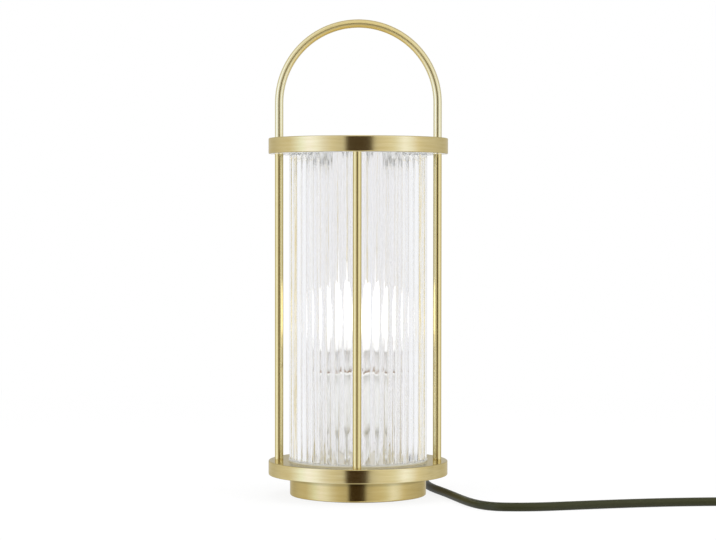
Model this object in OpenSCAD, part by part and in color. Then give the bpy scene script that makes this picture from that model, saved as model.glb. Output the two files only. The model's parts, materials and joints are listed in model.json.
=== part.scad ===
// Lantern table lamp: a ribbed glass cylinder between two rings, four rods and a fixed bow handle.
// Millimetres, +Z up, +X to the lamp's right, +Y to its back, origin on the floor under its middle.

/* [Rings] */
// Outer diameter of the top and base rings
ring_d = 150; // [146:1:158]
// Height of the top ring
top_ring_h = 13; // [12.4:0.2:18]
// Height of the base ring
base_ring_h = 11.8; // [10.6:0.2:16]
// Rounding of the rings' outer edges
ring_edge_r = 0.8; // [0.4:0.1:1.4]
// Thickness of the base ring's deck and of the top ring's ledge
deck_t = 3; // [2.4:0.2:3.4]

/* [Rods and handle] */
// Distance from a ring's outer edge to the middle of a rod
rod_inset = 8.8; // [7.8:0.1:10.4]
// Diameter of the rods and of the handle
rod_d = 7; // [6.4:0.2:8]
// Length of a rod between the two rings
rod_len = 256.2; // [236:1:290]
// Height of the handle's straight legs
leg_h = 29.6; // [12:1:50]
// Diameter of the studs on the rods and the handle
stud_d = 4; // [3.4:0.2:4.6]
// Length of those studs
stud_len = 5.4; // [4:0.2:5.6]

/* [Glass] */
// Distance between a rod and the crests of the glass
glass_gap = 5.1; // [4.4:0.1:6]
// Thickness of the glass at a crest
glass_wall = 4.2; // [3.4:0.1:6]
// Number of ribs round the glass
rib_count = 48; // [44:2:56]
// Radius of a rib's rounded crest
rib_r = 4.2; // [4:0.2:7]
// Thickness of the seal under and over the glass
seal_t = 1.2; // [0.8:0.1:1.6]
// How far the lower seal shows outside the glass
seal_lip = 0.6; // [0.3:0.1:1.6]
// How deep the glass reaches into the top ring
glass_entry = 4.8; // [3.6:0.2:5]

/* [Plinth] */
// Diameter of the plinth
plinth_d = 114; // [111:1:118]
// Height of the plinth's top above the floor
plinth_top = 18; // [17:0.5:24]
// Wall of the plinth
plinth_wall = 2.5; // [2:0.1:3.2]
// Thickness of the collar that holds the plinth
flange_t = 2.5; // [2:0.1:3]
// Width of that collar
flange_w = 11; // [11:0.5:14]
// Rounding of the plinth's bottom edge
plinth_edge_r = 1.2; // [0.6:0.1:1.8]
// Thickness of the weighted bottom plate
plate_t = 3; // [2.4:0.2:3.2]
// Thickness of the rubber pad
pad_t = 1.8; // [1.4:0.1:2.2]
// How far the pad stands below the plinth
pad_proud = 0.8; // [0.5:0.1:1]
// Margin between the pad and the plinth's inner wall
pad_margin = 3.5; // [3:0.5:8]

/* [Top cover] */
// Thickness of the cover
cover_t = 2; // [1.4:0.2:2.6]
// Width of the ledge that carries the cover
ledge_w = 10; // [9:0.5:12]

/* [Lampholder] */
// Length of the stem under the lampholder
stem_len = 14.2; // [10:0.5:30]
// Diameter of the stem
stem_d = 16; // [14:0.5:19]
// Diameter of the stem's foot
stem_foot_d = 32; // [26:1:40]
// Diameter of the threaded tube
nipple_d = 9.9; // [9:0.1:10.4]
// Bore of the threaded tube
nipple_bore = 7.5; // [7:0.1:8]
// Diameter of the lampholder
holder_d = 39.6; // [38.4:0.2:44]
// Height of the lampholder's lower cap
holder_cap_h = 24; // [23:0.5:30]
// Height of the lampholder's body
holder_body_h = 39; // [38:0.5:46]
// Wall of the lampholder's lower cap
holder_wall = 2; // [1.6:0.1:2.4]
// Inner diameter of the lampholder's body
holder_bore_d = 30.4; // [29.4:0.2:32]
// Diameter of the clamping ring on the lampholder
shade_ring_d = 58.6; // [52:0.2:64]
// Thickness of that ring
shade_ring_t = 3; // [2:0.2:4]
// Distance from the lampholder's rim down to that ring
shade_ring_drop = 1.5; // [1:0.1:4]

/* [Bulb] */
// Diameter of the bulb
bulb_d = 60; // [56:1:70]
// Diameter of the opaque housing where the globe starts
bulb_waist_d = 53; // [48:1:55]
// Height of the globe below its widest place
globe_low_h = 24; // [18:1:30]
// Height of the opaque housing
housing_h = 18.5; // [17:0.5:26]
// Diameter of the bulb's screw cap
bulb_cap_d = 26.4; // [25.6:0.1:26.5]
// Height of the bulb's screw cap
bulb_cap_h = 18.5; // [16:0.5:20]
// Wall of the globe
globe_wall = 1.4; // [1:0.1:2]

/* [Lead] */
// Diameter of the mains lead
cord_d = 7; // [6.4:0.1:7]
// Height of the lead's outlet above the floor
outlet_z = 9; // [8.8:0.1:9.6]
// Length of the tapered strain relief outside the plinth
relief_len = 26; // [22:1:26]
// Diameter of one insulated wire
wire_d = 2.2; // [1.8:0.1:2.4]
// Turns in the coil of spare lead
coil_turns = 5.25; // [3.25:1:5.25]
// Radius of the coil's outer turn
coil_out_r = 46.5; // [46.5:0.5:54]
// Step from one turn of the coil to the next
coil_step = 7.6; // [7.5:0.1:7.8]
// Height of the coil's upper layer above its lower one
coil_rise = 7.5; // [7.5:0.1:8.5]

/* [Plug] */
// Width of the plug's front
plug_w = 35; // [32:1:38]
// Thickness of the plug
plug_t = 13.8; // [13.4:0.2:14]
// Length of the plug's body
plug_len = 36; // [30:1:42]
// Length of the ribbed sleeve behind the plug's body
sleeve_len = 20; // [16:1:26]
// Length of the plug's pins
pin_len = 19; // [15:0.5:21]
// Diameter of the plug's pins
pin_d = 4; // [3.6:0.1:4.8]
// Distance between the plug's pins
pin_gap = 18.6; // [17:0.2:19]

/* [Hidden] */
$fn = 96;

// Clearances: a close fit, a loose fit and a gap between pieces that only stand near
close = 0.05;
loose = 0.2;
gap = 0.3;

// Brass, glass and the other colours
brass = [0.79, 0.68, 0.42];
steel = [0.72, 0.73, 0.75];
white = [0.93, 0.93, 0.91];
rubber_black = [0.1, 0.1, 0.09];
lead_olive = [0.2, 0.2, 0.15];

// Heights from the floor up
plate_z = pad_t;
plate_top = plate_z + plate_t;
ring_z = plinth_top;
ring_top = ring_z + base_ring_h;
top_z = ring_top + rod_len;
top_top = top_z + top_ring_h;
glass_z = ring_top + seal_t;
glass_top = top_z + glass_entry;
ledge_z = glass_top + seal_t;
cover_z = ledge_z + deck_t;
arch_z = top_top + leg_h;

// Radii
ring_r = ring_d / 2;
rod_circle_r = ring_r - rod_inset;
glass_r = rod_circle_r - rod_d / 2 - glass_gap;
glass_bore_r = glass_r - glass_wall;
plinth_r = plinth_d / 2;
plinth_in_r = plinth_r - plinth_wall;
flange_in_r = plinth_in_r - flange_w;
lip_t = 1.2;
lip_in_r = plinth_in_r - 2.5;
spigot_wall = 1.6;
spigot_h = 2;
spigot_r = flange_in_r + spigot_wall;
pocket_r = spigot_r + loose;
glass_play = 0.5;
cover_seat_w = 1.9;
ring_bore_r = glass_r + glass_play;
cover_seat_r = ring_bore_r + cover_seat_w;
ledge_in_r = cover_seat_r - ledge_w;

// Fasteners: shank and head radius and head height
rod_screw_r = 2;
rod_screw_head_r = 3.7;
rod_screw_head_h = 3;
rod_screw_len = 19;
flange_screw_r = 2;
flange_screw_head_r = 3.2;
flange_screw_head_h = 2.4;
flange_screw_bite = 6;
flange_screw_circle_r = pocket_r + flange_screw_r + 1.6;
boss_r = 4;
boss_root = 1;
boss_circle_r = plinth_in_r - boss_r - 2.6;
plate_screw_r = 1.6;
plate_screw_head_r = 3;
plate_screw_head_h = 1.6;
plate_screw_bite = 6;
cover_screw_r = 1.5;
cover_screw_head_r = 2.6;
cover_screw_head_h = 1.2;
cover_screw_circle_r = (ledge_in_r + cover_seat_r) / 2;
rod_angles = [270, 90, 180, 0];
flange_screw_angles = [45, 135, 225, 315];
plate_screw_angles = [0, 180, 270];

// Lampholder and bulb, measured up from the deck
deck_z = ring_top - deck_t;
stem_z = ring_top;
holder_z = stem_z + stem_len;
holder_r = holder_d / 2;
body_z = holder_z + holder_cap_h;
rim_z = body_z + holder_body_h;
cap_neck_h = 8;
cap_neck_r = 10;
core_below = 6;
core_above = 9;
core_z = body_z - core_below;
core_flange_h = 1.5;
core_top = body_z + core_above;
core_hole_depth = 4;
shell_wall = 0.5;
shell_floor_hole_r = 6;
shell_in_r = bulb_cap_d / 2 + gap;
shell_top = rim_z - 4;
shoulder_h = 4;
shoulder_r = holder_r + 2.2;
shade_ring_z = rim_z - shade_ring_drop - shade_ring_t;
contact_rise = 2.7;
bulb_z = core_top + shell_wall + contact_rise + gap;
tip_h = 2;
tip_r = 4.75;
insulator_h = 4.5;
insulator_r = 5.6;
bulb_cap_z = bulb_z + tip_h + insulator_h;
housing_z = bulb_cap_z + bulb_cap_h;
housing_neck_r = 14.3;
housing_neck_h = 2.5;
waist_h = 1.5;
globe_z = housing_z + housing_h;
globe_mid_z = globe_z + globe_low_h;
bulb_r = bulb_d / 2;
waist_r = bulb_waist_d / 2;
nipple_foot = 6.8;
nipple_z = deck_z - nipple_foot;
nipple_top = holder_z + cap_neck_h;
washer_r = 10;
washer_t = 1;
nut_flats = 14;
nut_h = 3;

// Outlet of the lead, its strain relief and its clamp
cord_r = cord_d / 2;
relief_end = plinth_r + relief_len;
relief_neck_r = 5.6;
relief_flange_r = 7;
relief_flange_t = 2;
relief_lip_r = plinth_top - flange_t - outlet_z - loose;
relief_lip_gap = 0.6;
relief_end_r = cord_r + 1.1;
outlet_cut = 5;
clamp_inset = 14.5;
clamp_y = plinth_in_r - clamp_inset;
clamp_size = [26, 8];
clamp_top = outlet_z + cord_r + 1.1;
clamp_screw_x = 8.5;
clamp_screw_r = 1.5;
clamp_head_r = 2.6;
clamp_head_h = 1.6;
bared_len = 10;
inner_lead_y = clamp_y - bared_len;
block_size = [24, 20, 10];
block_gap = 14;
block_min = [-36, inner_lead_y - block_gap - block_size[1], plate_top];
block_back_y = block_min[1] + block_size[1];
pole_x = [block_min[0] + block_size[0] / 4, block_min[0] + block_size[0] * 3 / 4];
pole_z = plate_top + 4.2;
pole_hole_r = 1.6;
pole_depth = 6;
pole_screw_inset = 4;
pole_screw_depth = 2.5;
wire_x = 1.4;
wire_rise = 12;

// Bends of the wires, from the terminal block's back and front
brown_bends = [[-8, 6, 0], [-15, -7, 0]];
blue_bends = [[-12, 9.5, 1.5], [-26, -7, 0]];

// Route of the free lead, from the strain relief to the coil
route = [
    [0, 57, 9], [0, 70, 9], [0, 83, 9], [0, 92, 9],
    [3.8, 106, 8.6], [14, 116.2, 7.4], [28, 120, 5.8], [42, 116.2, 4.4],
    [52.2, 106, 3.7], [56, 92, 3.5], [56.6, 74, 3.5], [58, 55, 3.5], [60.5, 36, 3.5], [64.5, 19, 3.5],
    [69, 4, 3.5], [73.5, -11, 3.5], [78, -27, 3.5], [82.3, -43, 3.5], [86.5, -58, 3.5], [90.8, -71, 3.5],
    [95.4, -82, 3.5], [100.5, -90.5, 3.5], [106.5, -96.7, 3.5], [114, -100.5, 3.5], [122.6, -101.6, 3.5],
    [132, -101.6, 3.5], [142, -100.4, 3.5], [152, -98.2, 3.5], [162, -95.2, 3.5], [171, -92.2, 3.5],
    [190, -86, 3.5], [215, -78.4, 3.5], [245, -71, 3.5], [275, -66, 3.5], [305, -63.2, 3.6],
    [322, -62.3, 4.2], [333, -62, 4.5], [340, -62, 4.5], [347, -62, 4.5]
];
cord_sides = 10;

// The coil starts where the route ends and lies to the left of its heading
coil_start = [354, -62];
coil_low_z = 4.5;
coil_centre = [coil_start[0], coil_start[1] + coil_out_r];
coil_rings = 24;
coil_sides = 6;
coil_lead_in = cord_d;
climb = 0.25;
reversal = 0.15;
tail_drop = [
    [7, 0], [15, -0.4], [23, -1.4], [31, -2.8], [39, -4.1], [47, -4.9], [54, -5.1], [61, -5.1]
];

// The strap round the coil
tie_turn = 0.5;
tie_w = 7;
tie_t = 0.8;

// Plug, lying beside the coil
plug_axis = [coil_centre[0] + coil_out_r, coil_low_z + coil_rise + tail_drop[len(tail_drop) - 1][1]];
sleeve_y = coil_centre[1] + tail_drop[len(tail_drop) - 1][0];
plug_y = sleeve_y + sleeve_len;
plug_back_r = 6.4;
plug_front_len = 12;
pin_root = 6;

// A tube swept along points

// Points of a Catmull-Rom curve through the given points, with n steps to each stretch
function curve(p, n) = [
    for (i = [0 : len(p) - 2], k = [0 : n - 1])
        let (a = p[max(i - 1, 0)], b = p[i], c = p[i + 1], d = p[min(i + 2, len(p) - 1)], t = k / n)
            0.5 * (2 * b + (c - a) * t + (2 * a - 5 * b + 4 * c - d) * t ^ 2
            + (3 * b - a - 3 * c + d) * t ^ 3),
    p[len(p) - 1]
];
function unit(v) = v / norm(v);
function heading(p, i) = unit(p[min(i + 1, len(p) - 1)] - p[max(i - 1, 0)]);
function ring_at(p, i, r, sides, up) =
    let (t = heading(p, i), u = unit(cross(t, up)), v = cross(u, t))
        [for (k = [0 : sides - 1]) p[i] + r * (cos(360 * k / sides) * v + sin(360 * k / sides) * u)];
function path_length(p) = len(p) < 2 ? 0 : [for (i = [1 : len(p) - 1]) norm(p[i] - p[i - 1])]
    * [for (i = [1 : len(p) - 1]) 1];

module swept_tube(p, r, sides, up = [0, 0, 1]) {
    last = (len(p) - 1) * sides;
    points = [for (i = [0 : len(p) - 1]) each ring_at(p, i, r, sides, up)];
    walls = [
        for (i = [0 : len(p) - 2], k = [0 : sides - 1])
            let (a = i * sides + k, b = i * sides + (k + 1) % sides)
                each [[a, a + sides, b], [b, a + sides, b + sides]]
    ];
    ends = [
        for (k = [1 : sides - 2])
            each [[0, k, k + 1], [last, last + k + 1, last + k]]
    ];
    polyhedron(points = points, faces = concat(walls, ends), convexity = 8);
}

// Coil: the loops spiral in on the lower layer, climb where they turn, and spiral out on top
coil_mid = coil_turns / 2;
function coil_reach(t) =
    let (d = abs(t - coil_mid)) d < reversal ? d ^ 2 / (2 * reversal) + reversal / 2 : d;
function coil_radius(t) = coil_out_r - coil_step * (coil_mid - coil_reach(t));
function coil_height(t) =
    coil_low_z + coil_rise * (1 - cos(180 * min(max((t - coil_mid + climb) / (2 * climb), 0), 1))) / 2;
function coil_point(t) = [
    coil_centre[0] + coil_radius(t) * cos(360 * t - 90),
    coil_centre[1] + coil_radius(t) * sin(360 * t - 90),
    coil_height(t)
];
coil_steps = coil_turns * coil_rings;
coil_loops = [for (i = [0 : coil_steps]) coil_point(i / coil_rings)];
coil_end = coil_loops[len(coil_loops) - 1];
coil_path = concat(
    [[coil_start[0] - coil_lead_in, coil_start[1], coil_low_z]],
    coil_loops,
    [for (d = tail_drop) coil_end + [0, d[0], d[1]]]
);

// Least gap from the coil's tube to itself, over points more than half a turn apart
coil_gap = min([
    for (i = [0 : len(coil_path) - 1], j = [i + coil_rings / 2 : len(coil_path) - 1])
        norm(coil_path[i] - coil_path[j])
]) - cord_d;
echo(coil_gap = coil_gap);
echo(free_length = path_length(curve(route, 2)), coil_length = path_length(coil_path));

// Shapes that repeat

module place(radius, angles) {
    for (a = angles) rotate([0, 0, a]) translate([radius, 0, 0]) children();
}

module drum(r, h, z = 0) {
    translate([0, 0, z]) cylinder(r = r, h = h);
}

module pipe(r_out, r_in, h, z = 0) {
    difference() {
        drum(r_out, h, z);
        drum(r_in, h + 2, z - 1);
    }
}

// A rectangle from r_in to r_out whose outer corners are rounded
module rim_section(r_in, r_out, h, edge) {
    translate([r_in, 0]) square([r_out - r_in - edge, h]);
    translate([r_in, edge]) square([r_out - r_in, h - 2 * edge]);
    for (y = [edge, h - edge]) translate([r_out - edge, y]) circle(edge, $fn = 48);
}

// Cheese-headed screw pointing up, its head's seat at z = 0
module screw_up(r, len, head_r, head_h) {
    cylinder(r = r, h = len);
    translate([0, 0, -head_h]) difference() {
        cylinder(r = head_r, h = head_h);
        translate([-head_r, -0.4, -1]) cube([2 * head_r, 0.8, 1 + head_h / 3]);
    }
}

// Frame

module handle() {
    color(brass) {
        translate([0, 0, arch_z]) rotate([90, 0, 0])
            rotate_extrude(angle = 180) translate([rod_circle_r, 0]) circle(rod_d / 2);
        place(rod_circle_r, [0, 180]) {
            drum(rod_d / 2, leg_h, top_top);
            drum(stud_d / 2, stud_len + 1, top_top - stud_len);
        }
    }
}

module top_ring() {
    color(brass) difference() {
        translate([0, 0, top_z]) rotate_extrude() rim_section(ledge_in_r, ring_r, top_ring_h, ring_edge_r);
        drum(ring_bore_r, ledge_z - top_z + 1, top_z - 1);
        drum(cover_seat_r, top_ring_h, cover_z);
        place(rod_circle_r, rod_angles) drum(stud_d / 2 + close, stud_len + close + 1, top_z - 1);
        place(rod_circle_r, [0, 180])
            drum(stud_d / 2 + close, stud_len + close + 1, top_top - stud_len - close);
        place(cover_screw_circle_r, flange_screw_angles)
            drum(cover_screw_r + close, deck_t + 2, ledge_z - 1);
    }
}

module top_cover() {
    color(brass) difference() {
        translate([0, 0, cover_z]) rotate_extrude()
            rim_section(0, cover_seat_r - loose, cover_t, cover_t / 4);
        place(cover_screw_circle_r, flange_screw_angles) {
            drum(cover_screw_r + close, cover_t + 2, cover_z - 1);
            drum(cover_screw_head_r + close, cover_screw_head_h + 1,
                cover_z + cover_t - cover_screw_head_h);
        }
    }
}

module cover_screws() {
    color(brass) place(cover_screw_circle_r, flange_screw_angles)
        translate([0, 0, cover_z + cover_t - cover_screw_head_h]) mirror([0, 0, 1])
            screw_up(cover_screw_r, deck_t + cover_t - cover_screw_head_h - gap, cover_screw_head_r,
                cover_screw_head_h);
}

module rod() {
    difference() {
        union() {
            drum(rod_d / 2, rod_len, ring_top);
            drum(stud_d / 2, stud_len + 1, top_z - 1);
        }
        drum(rod_screw_r + close, rod_screw_len, ring_top - 1);
    }
}

module rod_front() { color(brass) place(rod_circle_r, [rod_angles[0]]) rod(); }
module rod_back() { color(brass) place(rod_circle_r, [rod_angles[1]]) rod(); }
module rod_left() { color(brass) place(rod_circle_r, [rod_angles[2]]) rod(); }
module rod_right() { color(brass) place(rod_circle_r, [rod_angles[3]]) rod(); }

rod_screw_seat = ring_z + rod_screw_head_h + 1.2;
module rod_screws() {
    color(steel) place(rod_circle_r, rod_angles) translate([0, 0, rod_screw_seat])
        screw_up(rod_screw_r, rod_screw_len - 2, rod_screw_head_r, rod_screw_head_h);
}

// Glass and its seals

seal_inside = 1;

module glass_cylinder() {
    color([0.86, 0.9, 0.92, 0.35]) translate([0, 0, glass_z])
        linear_extrude(height = glass_top - glass_z)
        difference() {
            for (i = [0 : rib_count - 1])
                rotate(270 + 360 * i / rib_count) translate([glass_r - rib_r, 0]) circle(rib_r);
            circle(glass_bore_r, $fn = 192);
        }
}

module lower_seal() {
    color(rubber_black) pipe(glass_r + seal_lip, glass_bore_r - seal_inside, seal_t, ring_top);
}

module upper_seal() {
    color(rubber_black) pipe(ring_bore_r - loose, glass_bore_r - seal_inside, seal_t, glass_top);
}

// Base

module base_ring() {
    color(brass) difference() {
        translate([0, 0, ring_z]) rotate_extrude() rim_section(0, ring_r, base_ring_h, ring_edge_r);
        drum(pocket_r, deck_z - ring_z + 1, ring_z - 1);
        drum(nipple_d / 2 + loose, deck_t + 2, deck_z - 1);
        place(rod_circle_r, rod_angles) {
            drum(rod_screw_r + loose, base_ring_h + 2, ring_z - 1);
            drum(rod_screw_head_r + loose, rod_screw_seat - ring_z + 1, ring_z - 1);
        }
        place(flange_screw_circle_r, flange_screw_angles)
            drum(flange_screw_r + close, flange_screw_bite + close + 1, ring_z - 1);
    }
}

plinth_z = pad_proud;
plinth_h = plinth_top - plinth_z;
flange_z = plinth_top - flange_t;
lip_z = plinth_top - lip_t;
module plinth() {
    color(brass) difference() {
        translate([0, 0, plinth_z]) rotate_extrude() rim_section(0, plinth_r, plinth_h, plinth_edge_r);
        drum(plinth_in_r, lip_z - plinth_z + 1, plinth_z - 1);
        drum(lip_in_r, plinth_h, lip_z - 1);
        translate([0, plinth_in_r - outlet_cut, outlet_z]) rotate([-90, 0, 0])
            cylinder(r = relief_neck_r + close, h = plinth_wall + 2 * outlet_cut);
    }
}

// Turned ring that is screwed up under the base ring and clamps the plinth's lip there
module plinth_collar() {
    color(brass) difference() {
        union() {
            drum(plinth_in_r - loose, lip_z - flange_z, flange_z);
            drum(lip_in_r - loose, flange_t, flange_z);
            drum(spigot_r, spigot_h + 1, plinth_top - 1);
            place(boss_circle_r, plate_screw_angles)
                drum(boss_r, flange_z - plate_top + boss_root, plate_top);
        }
        drum(flange_in_r, plinth_h + spigot_h, flange_z - 1);
        place(flange_screw_circle_r, flange_screw_angles)
            drum(flange_screw_r + loose, flange_t + 2, flange_z - 1);
        place(boss_circle_r, plate_screw_angles)
            drum(plate_screw_r + close, plate_screw_bite + close + 1, plate_top - 1);
    }
}

module plinth_screws() {
    color(steel) place(flange_screw_circle_r, flange_screw_angles) translate([0, 0, flange_z])
        screw_up(flange_screw_r, flange_t + flange_screw_bite, flange_screw_head_r, flange_screw_head_h);
}

plate_screw_seat = plate_z + plate_screw_head_h;
module bottom_plate() {
    color(steel) difference() {
        drum(plinth_in_r - loose, plate_t, plate_z);
        place(boss_circle_r, plate_screw_angles) {
            drum(plate_screw_r + loose, plate_t + 2, plate_z - 1);
            drum(plate_screw_head_r + loose, plate_screw_head_h + 1, plate_z - 1);
        }
        for (x = [-clamp_screw_x, clamp_screw_x])
            translate([x, clamp_y, 0]) drum(clamp_screw_r + close, plate_t + 2, plate_z - 1);
    }
}

module plate_screws() {
    color(steel) place(boss_circle_r, plate_screw_angles) translate([0, 0, plate_screw_seat])
        screw_up(plate_screw_r, plate_top - plate_screw_seat + plate_screw_bite, plate_screw_head_r,
            plate_screw_head_h);
}

module base_pad() {
    color(rubber_black) drum(plinth_in_r - pad_margin, pad_t);
}

// Stem and lampholder

module stem() {
    color(white) difference() {
        union() {
            drum(stem_d / 2, stem_len, stem_z);
            translate([0, 0, stem_z]) rotate_extrude() rim_section(0, stem_foot_d / 2, 3, 1);
        }
        drum(nipple_d / 2 + loose, stem_len + 2, stem_z - 1);
    }
}

module nipple() {
    color(steel) pipe(nipple_d / 2, nipple_bore / 2, nipple_top - nipple_z, nipple_z);
}

module nipple_washer() {
    color(steel) pipe(washer_r, nipple_d / 2 + loose, washer_t, deck_z - washer_t);
}

module nipple_nut() {
    color(steel) difference() {
        translate([0, 0, deck_z - washer_t - nut_h])
            cylinder(r = nut_flats / 2 / cos(30), h = nut_h, $fn = 6);
        drum(nipple_d / 2 + close, nut_h + 2, deck_z - washer_t - nut_h - 1);
    }
}

// Outline of the lower cap: a neck, a rounded shoulder and a straight skirt
module cap_outline(neck_r, skirt_r, neck_h, height) {
    round_r = skirt_r - neck_r;
    square([neck_r, height]);
    translate([0, neck_h + round_r]) square([skirt_r, height - neck_h - round_r]);
    translate([neck_r, neck_h + round_r]) circle(round_r);
}

module holder_cap() {
    color(white) difference() {
        translate([0, 0, holder_z]) rotate_extrude() intersection() {
            cap_outline(cap_neck_r, holder_r, cap_neck_h, holder_cap_h);
            square([holder_r, holder_cap_h]);
        }
        translate([0, 0, holder_z]) rotate_extrude() intersection() {
            cap_outline(cap_neck_r - holder_wall, holder_r - holder_wall, cap_neck_h + holder_wall,
                holder_cap_h + 1);
            translate([0, cap_neck_h + holder_wall]) square([holder_r, holder_cap_h]);
        }
        drum(nipple_d / 2 + close, cap_neck_h + holder_wall + 2, holder_z - 1);
        drum(holder_r - holder_wall / 2, core_flange_h + 1, body_z - core_flange_h);
    }
}

module holder_body() {
    color(white) difference() {
        union() {
            drum(holder_r, holder_body_h, body_z);
            drum(shoulder_r, shoulder_h, shade_ring_z - shoulder_h);
        }
        drum(holder_bore_d / 2, holder_body_h + 2, body_z - 1);
    }
}

module holder_core() {
    color(white) difference() {
        union() {
            drum(holder_bore_d / 2 - loose, core_top - core_z, core_z);
            drum(holder_r - holder_wall / 2 - loose, core_flange_h, body_z - core_flange_h);
        }
        for (x = [-wire_x * 4, wire_x * 4])
            translate([x, 0, 0]) drum(wire_d / 2 + loose, core_hole_depth + 1, core_z - 1);
    }
}

module screw_shell() {
    color(brass) difference() {
        drum(shell_in_r + shell_wall, shell_top - core_top, core_top);
        drum(shell_in_r, shell_top - core_top, core_top + shell_wall);
        drum(shell_floor_hole_r, shell_wall + 2, core_top - 1);
    }
}

contact_w = 5;
contact_len = 10;
contact_t = 0.5;
module centre_contact() {
    color(brass) translate([0, contact_w / 2, core_top]) rotate([90, 0, 0])
        linear_extrude(height = contact_w)
        polygon([
            [-contact_len / 2, 0], [contact_len / 2, 0], [contact_len / 2, contact_t],
            [-contact_len / 2 + 2, contact_t], [contact_len / 4, contact_rise],
            [contact_len / 4, contact_rise + contact_t], [-contact_len / 4, contact_rise + contact_t],
            [-contact_len / 2, contact_t]
        ]);
}

module shade_ring() {
    color(brass) difference() {
        translate([0, 0, shade_ring_z]) rotate_extrude()
            rim_section(0, shade_ring_d / 2, shade_ring_t, 0.6);
        drum(holder_r + close, shade_ring_t + 2, shade_ring_z - 1);
    }
}

// Bulb

module globe_outline(side_r, waist, top_r) {
    flank_r = (globe_low_h ^ 2 + (top_r - waist) ^ 2) / (2 * (top_r - waist));
    intersection() {
        translate([top_r - flank_r, globe_low_h]) circle(flank_r, $fn = 360);
        square([side_r, globe_low_h]);
    }
    intersection() {
        translate([0, globe_low_h]) circle(top_r);
        translate([0, globe_low_h]) square([side_r, top_r]);
    }
}

module bulb_globe() {
    color([1, 0.98, 0.94]) translate([0, 0, globe_z]) rotate_extrude() difference() {
        globe_outline(bulb_r, waist_r, bulb_r);
        globe_outline(bulb_r, waist_r - globe_wall, bulb_r - globe_wall);
    }
}

module bulb_housing() {
    flare_h = housing_h - housing_neck_h - waist_h;
    flare_w = waist_r - housing_neck_r;
    flare_r = (flare_h ^ 2 + flare_w ^ 2) / (2 * flare_w);
    color(white) translate([0, 0, housing_z]) rotate_extrude() difference() {
        square([waist_r, housing_h]);
        translate([housing_neck_r, -1]) square([waist_r, housing_neck_h + 1]);
        intersection() {
            translate([housing_neck_r + flare_r, housing_neck_h]) circle(flare_r);
            translate([housing_neck_r, housing_neck_h - 1]) square([waist_r, flare_h + 1]);
        }
    }
}

module bulb_cap() {
    color(steel) translate([0, 0, bulb_cap_z]) rotate_extrude()
        rim_section(0, bulb_cap_d / 2, bulb_cap_h, 1);
}

module bulb_insulator() {
    color("dimgray") translate([0, 0, bulb_z + tip_h])
        cylinder(r1 = insulator_r, r2 = bulb_cap_d / 2 - 1.2, h = insulator_h);
}

module bulb_tip() {
    color(steel) translate([0, 0, bulb_z]) rotate_extrude() intersection() {
        translate([0, tip_r * 2]) circle(tip_r * 2);
        square([tip_r, tip_h]);
    }
}

// Wiring inside the plinth

module terminal_block() {
    color(white) difference() {
        translate(block_min) cube(block_size);
        for (x = pole_x, y = [block_min[1] - 1, block_back_y - pole_depth])
            translate([x, y, pole_z]) rotate([-90, 0, 0]) cylinder(r = pole_hole_r, h = pole_depth + 1);
        for (x = pole_x, y = [block_min[1] + pole_screw_inset, block_back_y - pole_screw_inset])
            translate([x, y, 0])
                drum(pole_hole_r, block_size[2], block_min[2] + block_size[2] - pole_screw_depth);
    }
}

module lead_clamp() {
    color(white) difference() {
        translate([-clamp_size[0] / 2, clamp_y - clamp_size[1] / 2, plate_top])
            cube([clamp_size[0], clamp_size[1], clamp_top - plate_top]);
        translate([0, clamp_y - clamp_size[1], outlet_z]) rotate([-90, 0, 0])
            cylinder(r = cord_r + close, h = 2 * clamp_size[1]);
        for (x = [-clamp_screw_x, clamp_screw_x])
            translate([x, clamp_y, 0]) drum(clamp_screw_r + loose, clamp_top, plate_top - 1);
    }
}

module clamp_screws() {
    color(steel) for (x = [-clamp_screw_x, clamp_screw_x])
        translate([x, clamp_y, clamp_top]) mirror([0, 0, 1])
            screw_up(clamp_screw_r, clamp_top - plate_z - gap, clamp_head_r, clamp_head_h);
}

// Rubber sleeve that snaps into the plinth's wall and tapers along the lead
module strain_relief() {
    color(rubber_black) difference() {
        translate([0, 0, outlet_z]) rotate([-90, 0, 0]) union() {
            translate([0, 0, plinth_in_r - relief_lip_gap - relief_flange_t])
                cylinder(r = relief_lip_r, h = relief_flange_t);
            translate([0, 0, plinth_in_r - 1]) cylinder(r = relief_neck_r, h = plinth_wall + 2);
            translate([0, 0, plinth_r]) cylinder(r = relief_flange_r, h = relief_flange_t);
            translate([0, 0, plinth_r + relief_flange_t])
                cylinder(r1 = relief_neck_r + 0.6, r2 = relief_end_r, h = relief_len - relief_flange_t);
        }
        translate([0, 0, outlet_z]) rotate([-90, 0, 0])
            translate([0, 0, clamp_y]) cylinder(r = cord_r + close, h = plinth_d);
        translate([-relief_flange_r, plinth_in_r - relief_flange_r, plate_top + loose - relief_flange_r])
            cube([2 * relief_flange_r, relief_flange_r, relief_flange_r]);
    }
}

module inner_lead() {
    color(lead_olive) translate([0, inner_lead_y, outlet_z]) rotate([-90, 0, 0])
        cylinder(r = cord_r, h = plinth_r - inner_lead_y);
}

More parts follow.
